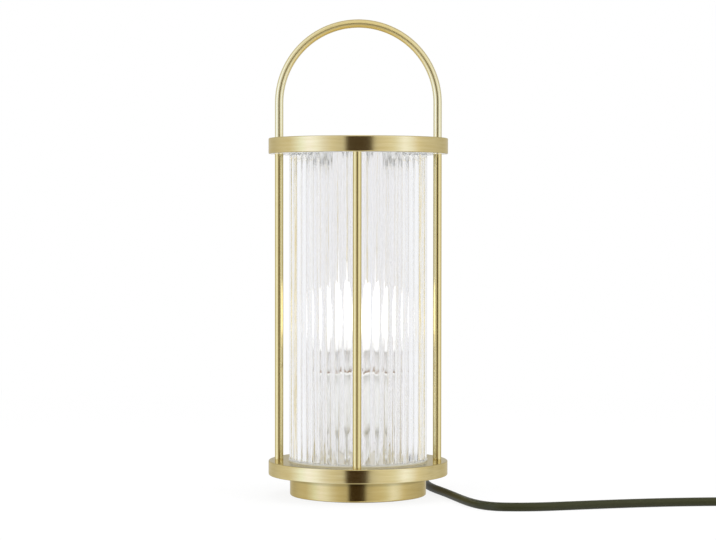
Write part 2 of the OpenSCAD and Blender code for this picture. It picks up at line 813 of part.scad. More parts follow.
// One wire in two stretches: from the lead to its pole, and from the pole up to the lampholder
module wire(pole, side, lift, bends) {
    front_y = block_min[1];
    swept_tube(curve([
        [0, inner_lead_y, outlet_z + lift], [0, inner_lead_y - wire_d / 2, outlet_z + lift],
        [0, inner_lead_y - wire_d, outlet_z + lift],
        [bends[0][0], block_back_y + bends[0][1], pole_z + bends[0][2]],
        [pole, block_back_y + wire_d * 2, pole_z], [pole, block_back_y, pole_z],
        [pole, block_back_y - pole_depth + 1, pole_z]
    ], 3), wire_d / 2, 6);
    swept_tube(curve([
        [pole, front_y + pole_depth - 1, pole_z], [pole, front_y, pole_z],
        [bends[1][0], front_y + bends[1][1], pole_z + bends[1][2]],
        [side * 4 - 8, front_y - 8 - side * 3, pole_z + 2], [side * wire_x, -5, nipple_z - 5],
        [side * wire_x, 0, nipple_z], [side * wire_x, 0, nipple_z + wire_rise],
        [side * wire_x, 0, nipple_top - 1], [side * wire_x * 1.6, 0, nipple_top + 2],
        [side * wire_x * 4, 0, core_z - 2], [side * wire_x * 4, 0, core_z + 3]
    ], 3), wire_d / 2, 6, [1, 0.01, 0.02]);
}

module brown_wires() {
    color("sienna") wire(pole_x[1], -1, -(wire_d + loose) / 2, brown_bends);
}

module blue_wires() {
    color("royalblue") wire(pole_x[0], 1, (wire_d + loose) / 2, blue_bends);
}

// Free lead, coil, tie and plug

module cord() {
    color(lead_olive) swept_tube(curve(route, 2), cord_r, cord_sides);
}

module cord_coil() {
    color(lead_olive) swept_tube(coil_path, cord_r, coil_sides);
}

module cord_tie() {
    inner = coil_radius(coil_mid) - cord_r - gap;
    outer = coil_radius(tie_turn) + cord_r + gap;
    low = coil_low_z - cord_r - loose;
    high = coil_low_z + coil_rise + cord_r + gap;
    color(rubber_black) translate([coil_centre[0], coil_centre[1], 0]) rotate([0, 0, 360 * tie_turn - 90])
        translate([0, tie_w / 2, 0]) rotate([90, 0, 0]) linear_extrude(height = tie_w) difference() {
            translate([inner - tie_t, low - tie_t])
                square([outer - inner + 2 * tie_t, high - low + 2 * tie_t]);
            translate([inner, low]) square([outer - inner, high - low]);
        }
}

module plug_slice(w, t, y) {
    translate([0, y, 0]) rotate([-90, 0, 0]) linear_extrude(height = 0.01) hull()
        for (x = [-1, 1]) translate([x * (w - t) / 2, 0]) circle(t / 2, $fn = 32);
}

module plug_body() {
    color(rubber_black) translate([plug_axis[0], 0, plug_axis[1]]) difference() {
        union() {
            hull() {
                plug_slice(plug_w - 2, plug_t - 2, plug_y + plug_len - 0.01);
                plug_slice(plug_w, plug_t, plug_y + plug_len - 1.2);
                plug_slice(plug_w, plug_t, plug_y + plug_len - plug_front_len);
            }
            hull() {
                plug_slice(plug_w, plug_t, plug_y + plug_len - plug_front_len);
                plug_slice(2 * plug_back_r + 4, 2 * plug_back_r, plug_y);
            }
            translate([0, sleeve_y, 0]) rotate([-90, 0, 0]) {
                cylinder(r1 = cord_r + 0.9, r2 = plug_back_r - 0.6, h = sleeve_len + 1);
                for (i = [1 : 5]) translate([0, 0, i * sleeve_len / 6])
                    cylinder(r = cord_r + 1.5 + i * 0.25, h = 1.4);
            }
        }
        for (x = [-pin_gap / 2, pin_gap / 2])
            translate([x, plug_y + plug_len - pin_root, 0]) rotate([-90, 0, 0])
                cylinder(r = pin_d / 2 + close, h = pin_root + 1);
    }
}

module plug_pins() {
    color(steel) for (x = [-pin_gap / 2, pin_gap / 2])
        translate([plug_axis[0] + x, plug_y + plug_len - pin_root, plug_axis[1]]) rotate([-90, 0, 0]) {
            cylinder(r = pin_d / 2, h = pin_root + pin_len - pin_d / 2);
            translate([0, 0, pin_root + pin_len - pin_d / 2]) sphere(pin_d / 2);
        }
}

handle();
top_ring();
top_cover();
cover_screws();
upper_seal();
glass_cylinder();
lower_seal();
rod_front();
rod_back();
rod_left();
rod_right();
rod_screws();
base_ring();
plinth();
plinth_collar();
plinth_screws();
bottom_plate();
plate_screws();
base_pad();
stem();
nipple();
nipple_washer();
nipple_nut();
holder_cap();
holder_body();
holder_core();
screw_shell();
centre_contact();
shade_ring();
bulb_globe();
bulb_housing();
bulb_cap();
bulb_insulator();
bulb_tip();
terminal_block();
lead_clamp();
clamp_screws();
strain_relief();
inner_lead();
brown_wires();
blue_wires();
cord();
cord_coil();
cord_tie();
plug_body();
plug_pins();
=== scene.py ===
# %% [markdown]
# A lantern table lamp, dressed in Blender
#
# The lamp is a ribbed glass cylinder between two satin brass rings, held by four brass rods, with a bow
# handle on top, a round plinth underneath and an olive-black rubber lead. Its rigid pieces come from the
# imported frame, at their real size and place, so this lesson doesn't build them again. It gives each one its
# finish, and models the pieces that need more than a plain solid: the lead, the glass, the lead's outlet and
# the plug.

# %% Load the frame
import json
import math

import bpy
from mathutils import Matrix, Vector

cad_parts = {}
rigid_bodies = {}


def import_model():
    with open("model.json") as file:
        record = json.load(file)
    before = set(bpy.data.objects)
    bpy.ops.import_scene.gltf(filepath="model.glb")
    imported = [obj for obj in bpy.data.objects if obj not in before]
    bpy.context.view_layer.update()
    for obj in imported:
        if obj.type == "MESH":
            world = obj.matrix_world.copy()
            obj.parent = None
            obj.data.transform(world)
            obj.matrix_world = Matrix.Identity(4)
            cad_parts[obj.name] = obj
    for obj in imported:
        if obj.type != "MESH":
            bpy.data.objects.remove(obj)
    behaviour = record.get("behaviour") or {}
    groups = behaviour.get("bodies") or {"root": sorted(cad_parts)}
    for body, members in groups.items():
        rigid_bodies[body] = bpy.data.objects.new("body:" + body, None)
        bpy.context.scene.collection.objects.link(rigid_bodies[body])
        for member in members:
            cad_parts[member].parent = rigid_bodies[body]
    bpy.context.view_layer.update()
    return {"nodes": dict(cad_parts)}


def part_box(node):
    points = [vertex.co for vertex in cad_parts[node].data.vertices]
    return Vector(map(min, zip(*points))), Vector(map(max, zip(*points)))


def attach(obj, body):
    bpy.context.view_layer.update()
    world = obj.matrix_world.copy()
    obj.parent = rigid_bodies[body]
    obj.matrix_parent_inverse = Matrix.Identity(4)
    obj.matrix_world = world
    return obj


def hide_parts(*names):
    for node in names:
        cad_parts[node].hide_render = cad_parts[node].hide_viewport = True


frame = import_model()
nodes = frame["nodes"]

# %% [markdown]
# Lengths in the scene are metres. The lamp's own sizes are read from the frame, so that nothing has to be
# fitted: the lowest and highest corners of a node say where it stands.

# %% Read the lamp's sizes
MM = 0.001


def top_of(node):
    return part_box(node)[1].z


def foot_of(node):
    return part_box(node)[0].z


def radius_of(node):
    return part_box(node)[1].x


ring_r = radius_of("top_ring")
glass_r = radius_of("glass_cylinder")
plinth_r = radius_of("plinth")
rod_r = (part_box("rod_left")[1].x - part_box("rod_left")[0].x) / 2
rod_circle_r = -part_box("rod_left")[0].x - rod_r
print(f"rings {2 * ring_r:.3f} m across, glass {2 * glass_r:.4f} m, rods on a {rod_circle_r:.4f} m circle")

# %% [markdown]
# The camera comes first, because the lead has to lie where the picture shows it. A long lens from nearly two
# metres away, a little above the lamp's middle, keeps the rings almost flat ellipses. The lamp is seen a hair
# from its right. The numbers are those at which the lamp's edges fall where the picture shows them.

# %% Place the camera
CAMERA_DISTANCE = 1.885
CAMERA_HEIGHT = 0.2322
CAMERA_AZIMUTH = math.radians(0.75)
CAMERA_TURN = math.radians(0.756)
CAMERA_PITCH = math.radians(1.313)
CAMERA_LEAN = math.radians(-0.049)
SENSOR = 36.0
LENS = 113.27

camera_data = bpy.data.cameras.new("camera")
camera_data.sensor_width = SENSOR
camera_data.lens = LENS
camera = bpy.data.objects.new("camera", camera_data)
bpy.context.scene.collection.objects.link(camera)
camera.location = (
    CAMERA_DISTANCE * math.sin(CAMERA_AZIMUTH),
    -CAMERA_DISTANCE * math.cos(CAMERA_AZIMUTH),
    CAMERA_HEIGHT,
)
camera.rotation_euler = (math.pi / 2 - CAMERA_PITCH, CAMERA_LEAN, CAMERA_TURN)
bpy.context.scene.camera = camera
bpy.context.scene.view_settings.view_transform = "Standard"
print("camera at", tuple(round(x, 3) for x in camera.location))

# %% [markdown]
# The lead is a round rubber-sheathed cable of 7 mm. It leaves the plinth at the back, bends down to the
# table, passes the lamp's right side and runs out of the view. The rest of it is wound into a coil just
# outside the view, with the plug beside it. A curve with a round bevel is the natural tool: the curve is the
# lead's centre line, so its length can be measured. The lead isn't mirrored, because the brushed brass would
# spread it over both the plinth and the ring above.

# %% Lay out the lead's free stretch
LEAD_R = 3.5 * MM
free_stretch = [
    (0, 57, 9), (0, 70, 9), (0, 83, 9), (0, 92, 9),
    (3.8, 106, 8.6), (14, 116.2, 7.4), (28, 120, 5.8), (42, 116.2, 4.4),
    (52.2, 106, 3.7), (56, 92, 3.5), (56.6, 74, 3.5), (58, 55, 3.5), (60.5, 36, 3.5), (64.5, 19, 3.5),
    (69, 4, 3.5), (73.5, -11, 3.5), (78, -27, 3.5), (82.3, -43, 3.5), (86.5, -58, 3.5), (90.8, -71, 3.5),
    (95.4, -82, 3.5), (100.5, -90.5, 3.5), (106.5, -96.7, 3.5), (114, -100.5, 3.5), (122.6, -101.6, 3.5),
    (132, -101.6, 3.5), (142, -100.4, 3.5), (152, -98.2, 3.5), (162, -95.2, 3.5), (171, -92.2, 3.5),
    (190, -86, 3.5), (215, -78.4, 3.5), (245, -71, 3.5), (275, -66, 3.5), (305, -63.2, 3.6),
    (322, -62.3, 4.2), (333, -62, 4.5), (340, -62, 4.5), (347, -62, 4.5),
]
print(len(free_stretch), "points from the plinth to the coil")

# %% Wind the coil
COIL_START = (354, -62)
COIL_TURNS = 5.25
COIL_OUTER_R = 46.5
COIL_STEP = 7.6
COIL_LOW_Z = 4.5
COIL_RISE = 7.5
CLIMB = 0.25
REVERSAL = 0.15
POINTS_PER_TURN = 24
coil_centre = (COIL_START[0], COIL_START[1] + COIL_OUTER_R)
coil_middle = COIL_TURNS / 2


def coil_point(turn):
    """The loops spiral in on the lower layer, climb where they turn back, and spiral out on top."""
    reach = abs(turn - coil_middle)
    if reach < REVERSAL:
        reach = reach**2 / (2 * REVERSAL) + REVERSAL / 2
    radius = COIL_OUTER_R - COIL_STEP * (coil_middle - reach)
    share = min(max((turn - coil_middle + CLIMB) / (2 * CLIMB), 0), 1)
    height = COIL_LOW_Z + COIL_RISE * (1 - math.cos(math.pi * share)) / 2
    angle = 2 * math.pi * turn - math.pi / 2
    return coil_centre[0] + radius * math.cos(angle), coil_centre[1] + radius * math.sin(angle), height


coil = [coil_point(i / POINTS_PER_TURN) for i in range(int(COIL_TURNS * POINTS_PER_TURN) + 1)]
tail_drop = [(7, 0), (15, -0.4), (23, -1.4), (31, -2.8), (39, -4.1), (47, -4.9), (54, -5.1), (61, -5.1)]
tail = [(coil[-1][0], coil[-1][1] + along, coil[-1][2] + drop) for along, drop in tail_drop]
print(len(coil), "points in the coil,", len(tail), "from there to the plug")

# %% Make the lead a curve with a round bevel
route = free_stretch + coil + tail
lead_curve = bpy.data.curves.new("lead", "CURVE")
lead_curve.dimensions = "3D"
lead_curve.resolution_u = 5
lead_curve.bevel_depth = 1.0
lead_curve.bevel_resolution = 6
lead_curve.use_fill_caps = True
spline = lead_curve.splines.new("BEZIER")
spline.bezier_points.add(len(route) - 1)
for bead, place in zip(spline.bezier_points, route):
    bead.co = Vector(place) * MM
    bead.radius = LEAD_R
    bead.handle_left_type = bead.handle_right_type = "AUTO"
lead = bpy.data.objects.new("lead", lead_curve)
bpy.context.scene.collection.objects.link(lead)
bpy.context.view_layer.update()
lead_length = sum(
    (Vector(b) - Vector(a)).length for a, b in zip(route, route[1:])
) * MM
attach(lead, "lamp")
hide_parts("cord", "cord_coil")
print(f"lead: {lead_length:.3f} m long")

# %% [markdown]
# The pieces that need more than a plain solid are modelled as by hand: a primitive is the start, edit mode
# shapes it, and modifiers finish it. The helpers below are the hand on the mouse. One clears the selection
# and adds a primitive, one picks edges by where their ends are, one closes a piece, and one rounds its sharp
# edges.

# %% Helpers for modelling


def start(name, primitive, **settings):
    """Adds a primitive, with nothing else selected."""
    if bpy.context.object and bpy.context.object.mode == "EDIT":
        bpy.ops.object.mode_set(mode="OBJECT")
    bpy.ops.object.select_all(action="DESELECT")
    primitive(**settings)
    made = bpy.context.object
    made.name = name
    return made


def pick_edges(piece, test):
    """In edit mode, selects the edges whose two ends pass a test."""
    bpy.ops.object.mode_set(mode="OBJECT")
    mesh = piece.data
    for group in (mesh.vertices, mesh.edges, mesh.polygons):
        group.foreach_set("select", [False] * len(group))
    for edge in mesh.edges:
        edge.select = all(test(mesh.vertices[i].co) for i in edge.vertices)
    bpy.ops.object.mode_set(mode="EDIT")
    bpy.ops.mesh.select_mode(type="EDGE")


def finish_piece(piece, material, angle=40.0):
    """Turns the normals outward, shades the piece and puts it on the lamp with its finish."""
    if piece.mode != "EDIT":
        bpy.ops.object.mode_set(mode="EDIT")
    bpy.ops.mesh.select_all(action="SELECT")
    bpy.ops.mesh.normals_make_consistent(inside=False)
    bpy.ops.object.mode_set(mode="OBJECT")
    bpy.ops.object.transform_apply(location=True, rotation=True, scale=True)
    bpy.ops.object.shade_smooth_by_angle(angle=math.radians(angle))
    piece.data.materials.clear()
    piece.data.materials.append(material)
    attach(piece, "lamp")
    print(f"{piece.name}: {len(piece.data.polygons)} faces")


def bevelled(piece, width, segments=2, angle=35.0):
    """Rounds every edge that is sharper than an angle."""
    bpy.ops.object.mode_set(mode="OBJECT")
    modifier = piece.modifiers.new("rounding", "BEVEL")
    modifier.width = width
    modifier.segments = segments
    modifier.limit_method = "ANGLE"
    modifier.angle_limit = math.radians(angle)
    bpy.ops.object.modifier_apply(modifier=modifier.name)


print("modelling helpers ready")

# %% [markdown]
# Finishes are node trees, and node trees are easier to read as sums than as wiring. The small class below
# stands for one output of one node: adding or multiplying two of them adds the Math node that does it. Every
# other node comes from one method, which takes the node's type, its settings and its inputs.

# %% Write shader maths as expressions


class Wire:
    """An output of a shader node. Maths on it adds the Math node that works it out."""

    def __init__(self, tree, socket):
        self.tree, self.socket = tree, socket

    def maths(self, operation, *others, first=None, clamp=False):
        values = (self, *others) if first is None else (first, self)
        settings = {"operation": operation, "use_clamp": clamp}
        return self.tree.node("ShaderNodeMath", settings, dict(enumerate(values)))

    def __add__(self, other):
        return self.maths("ADD", other)

    def __sub__(self, other):
        return self.maths("SUBTRACT", other)

    def __mul__(self, other):
        return self.maths("MULTIPLY", other)

    def __truediv__(self, other):
        return self.maths("DIVIDE", other)

    def __rsub__(self, other):
        return self.maths("SUBTRACT", first=other)

    def larger(self, other):
        return self.maths("MAXIMUM", other)

    def clamped(self):
        return self.maths("ADD", 0.0, clamp=True)

    def absolute(self):
        return self.maths("ABSOLUTE")

    def root(self):
        return self.maths("SQRT")


class Tree:
    """A node tree that is filled by expressions."""

    def __init__(self, node_tree):
        self.nodes, self.links = node_tree.nodes, node_tree.links
        self.nodes.clear()

    def node(self, kind, settings=None, inputs=None, output=0):
        made = self.nodes.new(kind)
        for name, value in (settings or {}).items():
            if name == "stops":
                self.set_stops(made.color_ramp, value)
            else:
                setattr(made, name, value)
        for name, value in (inputs or {}).items():
            if isinstance(value, Wire):
                self.links.new(value.socket, made.inputs[name])
            else:
                made.inputs[name].default_value = value
        return Wire(self, made.outputs[output]) if made.outputs else made

    def mixed(self, share, first, second):
        """Mixes two colours, each of them numbers or a wire."""
        mix = self.node("ShaderNodeMix", {"data_type": "RGBA"}, {"Factor": share}).socket.node
        sockets = {s.identifier: s for s in (*mix.inputs, *mix.outputs)}
        for name, colour in (("A_Color", first), ("B_Color", second)):
            if isinstance(colour, Wire):
                self.links.new(colour.socket, sockets[name])
            else:
                sockets[name].default_value = (*colour, 1.0)
        return Wire(self, sockets["Result_Color"])

    def axes(self, vector):
        """The three parts of a vector."""
        split = self.node("ShaderNodeSeparateXYZ", inputs={"Vector": vector}).socket.node
        return [Wire(self, part) for part in split.outputs]

    def rays(self, *kinds):
        """What the Light Path node knows of a ray, such as of which kind it is."""
        path = self.node("ShaderNodeLightPath").socket.node
        return [Wire(self, path.outputs[kind]) for kind in kinds]

    def set_stops(self, ramp, stops):
        while len(ramp.elements) < len(stops):
            ramp.elements.new(1.0)
        for element, (place, colour) in zip(ramp.elements, stops):
            element.position = place
            element.color = (*colour, 1.0) if hasattr(colour, "__len__") else (colour, colour, colour, 1.0)


print("shader maths ready")

# %% [markdown]
# A finish below is a Principled shader whose colour, roughness and bump change a little over the surface, as
# they do on real things. The patterns are set in the lamp's own coordinates, in metres, so that a scale of
# 500 is a grain of two millimetres.

# %% Start a finish


class Finish(Tree):
    """A material with one Principled shader."""

    def __init__(self, name):
        self.material = bpy.data.materials.new(name)
        self.material.use_nodes = True
        super().__init__(self.material.node_tree)
        self.place = self.node("ShaderNodeTexCoord", output="Object")

    def centred(self, x, y):
        return self.node("ShaderNodeMapping", inputs={"Vector": self.place, "Location": (-x, -y, 0.0)})

    def vector(self, x, y, z):
        return self.node("ShaderNodeCombineXYZ", inputs={"X": x, "Y": y, "Z": z})

    def noise(self, vector, scale, detail=2.0, w=None):
        settings = {"noise_dimensions": "3D" if w is None else "4D"}
        inputs = {"Vector": vector, "Scale": scale, "Detail": detail}
        if w is not None:
            inputs["W"] = w
        return self.node("ShaderNodeTexNoise", settings, inputs)

    def bump(self, height, strength, distance):
        return self.node(
            "ShaderNodeBump", inputs={"Height": height, "Strength": strength, "Distance": distance}
        )

    def surface(self, **inputs):
        named = {name.replace("_", " "): value for name, value in inputs.items()}
        return self.node("ShaderNodeBsdfPrincipled", inputs=named)

    def end(self, shader):
        self.node("ShaderNodeOutputMaterial", inputs={"Surface": shader})
        return self.material


def paint(material, *names):
    """Gives CAD nodes, which keep their meshes, the material in each of their slots."""
    for name in names:
        for place in nodes[name].material_slots:
            place.material = material


print("finishes can be painted on", len(nodes), "nodes")

# %% [markdown]
# The rings, rods and plinth are turned brass, brushed on the lathe: fine lines run round each piece. Such
# lines keep a reflection sharp from side to side and smear it up and down, which is what Anisotropic does.
# The lines themselves are noise that is stretched round the piece's own axis. Unit vectors from that axis
# replace the angle, so that the pattern has no seam. The rims are darkened with painted shade. The plinth's
# brass is painted darker, as shade under the base ring, with a band of painted shade just under the ring. The
# top ring is enamelled white underneath and inside, like the cover that lies in it, to throw the bulb's light
# down.

# %% Brush the turned brass
BRASS = (0.91, 0.765, 0.395)
BRASS_WARM = (0.83, 0.67, 0.31)
# The plinth's brass, painted darker as shade under the base ring.
BRASS_SHADED = (0.76, 0.6, 0.255)
BRASS_SHADED_WARM = (0.69, 0.53, 0.2)
BRASS_ROD, BRASS_ROD_WARM = (0.9, 0.75, 0.35), (0.85, 0.69, 0.3)
# Painted shade: the colour of the dark bands at the rims and just under the base ring.
PAINTED_EDGE_SHADE = (0.46, 0.38, 0.16)
LINE_SCALE, SLOW_SCALE, ROUND_SCALE = 5200.0, 5200.0 / 9, 3.0
HANDLED_SCALE = 38.0
BRUSH_DEPTH = 0.02 * MM
NOT_ZERO = 1e-5
EDGE_WIDTH, PAINTED_SHADE_SHARE = 0.55 * MM, 0.8
SHADE_UNDER_RING_DROP, SHADE_UNDER_RING_WIDTH = 3.1 * MM, 1.9 * MM
RIM_WALL = 1.5 * MM
WHITE = (0.91, 0.905, 0.88)


def turned_brass(
    name, x=0.0, y=0.0, edges=(), rim_r=0.0, white=None, dark=BRASS_WARM, light=BRASS, depth=0.05
):
    """Brass with lines round the axis at (x, y), and painted shade in bands round given heights, outside a
    radius.

    Where white is (a radius, a height), what lies inside and under them is enamelled white.
    """
    finish = Finish(name)
    east, north, up = finish.axes(finish.centred(x, y))
    radius = (east * east + north * north).root() + NOT_ZERO
    across, along = east / radius * ROUND_SCALE, north / radius * ROUND_SCALE
    fine = finish.vector(across, along, up * LINE_SCALE)
    lines = finish.noise(fine, 1.0, detail=3.0, w=radius * LINE_SCALE)
    streaks = finish.noise(finish.vector(across, along, up * SLOW_SCALE), 1.0, w=radius * SLOW_SCALE)
    handled = finish.noise(finish.place, HANDLED_SCALE)
    colour = finish.mixed((streaks * 2.4 + handled * 0.7 - 1.05).clamped(), dark, light)
    outside = ((radius - rim_r) / EDGE_WIDTH).clamped()
    # Each band is painted shade, darkest at its height and only outside the radius.
    for height, width in edges:
        painted_band = (1.0 - (up - height).absolute() / width).clamped() * outside
        colour = finish.mixed(painted_band * PAINTED_SHADE_SHARE, colour, PAINTED_EDGE_SHADE)
    metal = 1.0
    if white:
        enamel = ((white[0] - radius) / EDGE_WIDTH).clamped() * ((white[1] - up) / EDGE_WIDTH).clamped()
        colour = finish.mixed(enamel, colour, WHITE)
        metal = 1.0 - enamel
    shader = finish.surface(
        Base_Color=colour,
        Metallic=metal,
        Roughness=lines * 0.04 + handled * 0.03 + 0.13,
        Anisotropic=0.5,
        Anisotropic_Rotation=0.25,
        Specular_Tint=(1.0, 0.95, 0.78, 1.0),
        Normal=finish.bump(lines, depth, BRUSH_DEPTH),
    )
    return finish.end(shader)


# Bands of painted shade at the foot and the top of a piece.
def rims(node):
    return [(foot_of(node), EDGE_WIDTH), (top_of(node), EDGE_WIDTH)]


paint(
    turned_brass(
        "brass_top_ring", edges=rims("top_ring"), rim_r=ring_r - 2 * EDGE_WIDTH,
        white=(ring_r - RIM_WALL, top_of("top_ring") - RIM_WALL),
    ),
    "top_ring",
)
paint(turned_brass("brass_base_ring", edges=rims("base_ring")), "base_ring")
# A band of painted shade just under the base ring, where it overhangs the plinth.
shade_under_ring = (top_of("plinth") - SHADE_UNDER_RING_DROP, SHADE_UNDER_RING_WIDTH)
paint(
    turned_brass("brass_plinth_shaded", edges=[*rims("plinth"), shade_under_ring], dark=BRASS_SHADED_WARM, light=BRASS_SHADED),
    "plinth", "plinth_collar",
)
for name, (x, y) in {
    "rod_front": (0, -rod_circle_r), "rod_back": (0, rod_circle_r),
    "rod_left": (-rod_circle_r, 0), "rod_right": (rod_circle_r, 0),
}.items():
    paint(turned_brass(f"brass_{name}", x, y, dark=BRASS_ROD_WARM, light=BRASS_ROD, depth=0.01), name)
print("turned brass on the rings and the plinth, and one for each rod")

# %% [markdown]
# Two more turned pieces aren't brass all over. The cover is enamelled white underneath, where it throws the
# bulb's light down, and the ring on the lampholder is white with a fine bronze line round its top. Each has
# one material, so a height on the piece says where one finish ends and the next begins.

# %% Finish the cover and the lampholder's ring
BORDER_WIDTH = 0.05 * MM


def two_finishes(name, border, lower, upper, metallic):
    """A plain finish below a height, and above it another that is as metallic as given."""
    finish = Finish(name)
    up = finish.axes(finish.place)[2]
    fine = finish.noise(finish.place, 900.0)
    share = ((up - border) / BORDER_WIDTH + 0.5).clamped()
    shader = finish.surface(
        Base_Color=finish.mixed(share, lower, upper),
        Metallic=share * metallic,
        Roughness=fine * 0.08 + 0.24,
        Normal=finish.bump(fine, 0.1, 0.01 * MM),
    )
    return finish.end(shader)


COVER_SKIN, LINE_HEIGHT = 0.3 * MM, 0.8 * MM
BRONZE = (0.3, 0.19, 0.1)
skin_z, line_z = foot_of("top_cover") + COVER_SKIN, top_of("shade_ring") - LINE_HEIGHT
paint(two_finishes("cover_brass_over_white", skin_z, WHITE, BRASS, 1.0), "top_cover")
paint(two_finishes("ring_white_with_line", line_z, WHITE, BRONZE, 0.4), "shade_ring")
print("the cover and the lampholder's ring have two finishes each")

# %% [markdown]
# The handle is a rod that was bent after it was drawn, so its lines run along it. In the arch they follow the
# distance from the arch's middle, and on the legs the distance from the lamp's axis, which is the same number
# where arch and legs meet. The legs are lighter and smoother, and the arch is deeper and duller.

# %% Brush the bent brass
LEG_BRASS, LEG_BRASS_WARM = (1.0, 0.91, 0.57), (0.98, 0.88, 0.52)
ARCH_BRASS, ARCH_BRASS_WARM = (0.93, 0.77, 0.36), (0.89, 0.72, 0.31)
ALONG_SCALE = 20.0
arch_z = top_of("handle") - rod_circle_r - rod_r


def drawn_brass(name):
    finish = Finish(name)
    east, north, up = finish.axes(finish.place)
    above = (up - arch_z).larger(0.0)
    reach = (east * east + above * above).root()
    fine = finish.vector(reach * LINE_SCALE, north * LINE_SCALE, up * ALONG_SCALE)
    lines = finish.noise(fine, 1.0, detail=3.0, w=east * ALONG_SCALE)
    handled = finish.noise(finish.place, HANDLED_SCALE)
    # The arch's share: from the lighter legs to the deeper, duller arch.
    arch_share = (above / rod_circle_r).clamped()
    legs = finish.mixed(handled, LEG_BRASS_WARM, LEG_BRASS)
    shader = finish.surface(
        Base_Color=finish.mixed(arch_share, legs, finish.mixed(handled, ARCH_BRASS_WARM, ARCH_BRASS)),
        Metallic=1.0,
        Roughness=arch_share * 0.12 + lines * 0.02 + handled * 0.03 + 0.22,
        Normal=finish.bump(lines, 0.003, BRUSH_DEPTH),
    )
    return finish.end(shader)


paint(drawn_brass("brass_drawn"), "handle")
paint(drawn_brass("brass_screws"), "cover_screws")
print("drawn brass on the handle and the cover's screws")

# %% [markdown]
# Rubber, plastic and plated steel are all a Principled shader with a fine grain. One function with a few
# numbers makes them, because they differ in colour, gloss and how coarse the grain is, and in nothing else.

# %% Make the plain finishes
BROADER = 22
ROUGH_SPREAD = 0.08


def grained(name, dark, light, rough, grain=900.0, depth=0.02, metallic=0.0, **extra):
    """A finish between two colours, with a bump whose depth is in millimetres."""
    finish = Finish(name)
    fine = finish.noise(finish.place, grain, detail=3.0)
    broad = finish.noise(finish.place, grain / BROADER)
    shader = finish.surface(
        Base_Color=finish.mixed(fine * 0.35 + broad * 0.65, dark, light),
        Metallic=metallic,
        Roughness=fine * ROUGH_SPREAD + (rough - ROUGH_SPREAD / 2),
        Normal=finish.bump(fine, 0.25, depth * MM),
        **extra,
    )
    return finish.end(shader)


silicone = grained("silicone_seal", (0.62, 0.61, 0.55), (0.7, 0.69, 0.63), 0.45)
outlet_rubber = grained("rubber_outlet", (0.018, 0.018, 0.016), (0.035, 0.034, 0.03), 0.5, grain=1500.0)
pad_rubber = grained("rubber_pad", (0.012,) * 3, (0.03,) * 3, 0.85, grain=1800.0, depth=0.08)
zinc_steel = grained("steel_zinc", (0.5, 0.51, 0.53), (0.66, 0.67, 0.69), 0.32, metallic=1.0)
white_enamel = grained("enamel_white", (0.8, 0.8, 0.78), (0.86, 0.86, 0.84), 0.3, depth=0.01)
white_plastic = grained("plastic_white", (0.8, 0.8, 0.78), (0.85, 0.85, 0.83), 0.36, depth=0.01)
ceramic = grained("ceramic_core", (0.74, 0.72, 0.66), (0.82, 0.81, 0.76), 0.6)
contact_brass = grained("brass_contacts", (0.68, 0.52, 0.26), (0.78, 0.63, 0.33), 0.3, metallic=1.0)
cap_metal = grained("bulb_cap_nickel", (0.58, 0.57, 0.55), (0.7, 0.69, 0.67), 0.28, metallic=1.0)
cap_glass = grained("bulb_insulator_glass", (0.01, 0.01, 0.012), (0.02, 0.02, 0.025), 0.15)
bulb_white = grained("bulb_housing_white", (0.84, 0.84, 0.82), (0.88, 0.88, 0.87), 0.3, depth=0.01)
wire_brown = grained("wire_brown", (0.14, 0.055, 0.022), (0.19, 0.075, 0.03), 0.4)
wire_blue = grained("wire_blue", (0.012, 0.08, 0.34), (0.018, 0.11, 0.42), 0.4)
tie_black = grained("strap_black", (0.012,) * 3, (0.03,) * 3, 0.75, grain=2600.0, depth=0.1)
plug_black = grained(
    "plug_black", (0.014, 0.014, 0.012), (0.026, 0.026, 0.023), 0.5, grain=1500.0, depth=0.05
)
pin_nickel = grained("pin_nickel", (0.66, 0.65, 0.62), (0.76, 0.75, 0.72), 0.2, metallic=1.0)
lead_rubber = grained(
    "rubber_lead", (0.018, 0.0185, 0.006), (0.026, 0.027, 0.01), 0.42, grain=1300.0, depth=0.015,
    Specular_IOR_Level=0.36, Specular_Tint=(1.0, 0.99, 0.7, 1.0),
)
lead.data.materials.append(lead_rubber)
lead.visible_glossy = False

paint(silicone, "upper_seal", "lower_seal")
paint(pad_rubber, "base_pad")
paint(
    zinc_steel, "rod_screws", "plinth_screws", "bottom_plate", "plate_screws", "nipple", "nipple_washer",
    "nipple_nut", "clamp_screws",
)
paint(white_enamel, "stem")
paint(white_plastic, "holder_cap", "holder_body", "terminal_block", "lead_clamp")
paint(ceramic, "holder_core")
paint(contact_brass, "screw_shell", "centre_contact")
paint(cap_metal, "bulb_cap", "bulb_tip")
paint(cap_glass, "bulb_insulator")
paint(bulb_white, "bulb_housing")
paint(wire_brown, "brown_wires")
paint(wire_blue, "blue_wires")
paint(tie_black, "cord_tie")
paint(pin_nickel, "plug_pins")
paint(lead_rubber, "inner_lead")
print("plain finishes done")

# %% [markdown]
# The bulb is lit. Its globe glows fully from 14 mm above its foot, where the housing no longer shades it, and
# the glow stays low enough to keep the colour of the things round it.

# %% Light the bulb
FOOT_GLOW, FULL_GLOW = (0.2, 0.196, 0.186), (1.0, 0.99, 0.97)
GLOW_LOW, GLOW_HIGH = 7 * MM, 14 * MM
GLOW_STRENGTH = 0.85


def glowing(name, low, high):
    finish = Finish(name)
    up = finish.axes(finish.place)[2]
    share = (up - low) / (high - low)
    glow = finish.mixed(share.clamped(), FOOT_GLOW, FULL_GLOW)
    shader = finish.surface(
        Base_Color=(0.9, 0.9, 0.88, 1.0),
        Roughness=finish.noise(finish.place, 600.0) * 0.06 + 0.3,
        Emission_Color=glow,
        Emission_Strength=GLOW_STRENGTH,
    )
    return finish.end(shader)


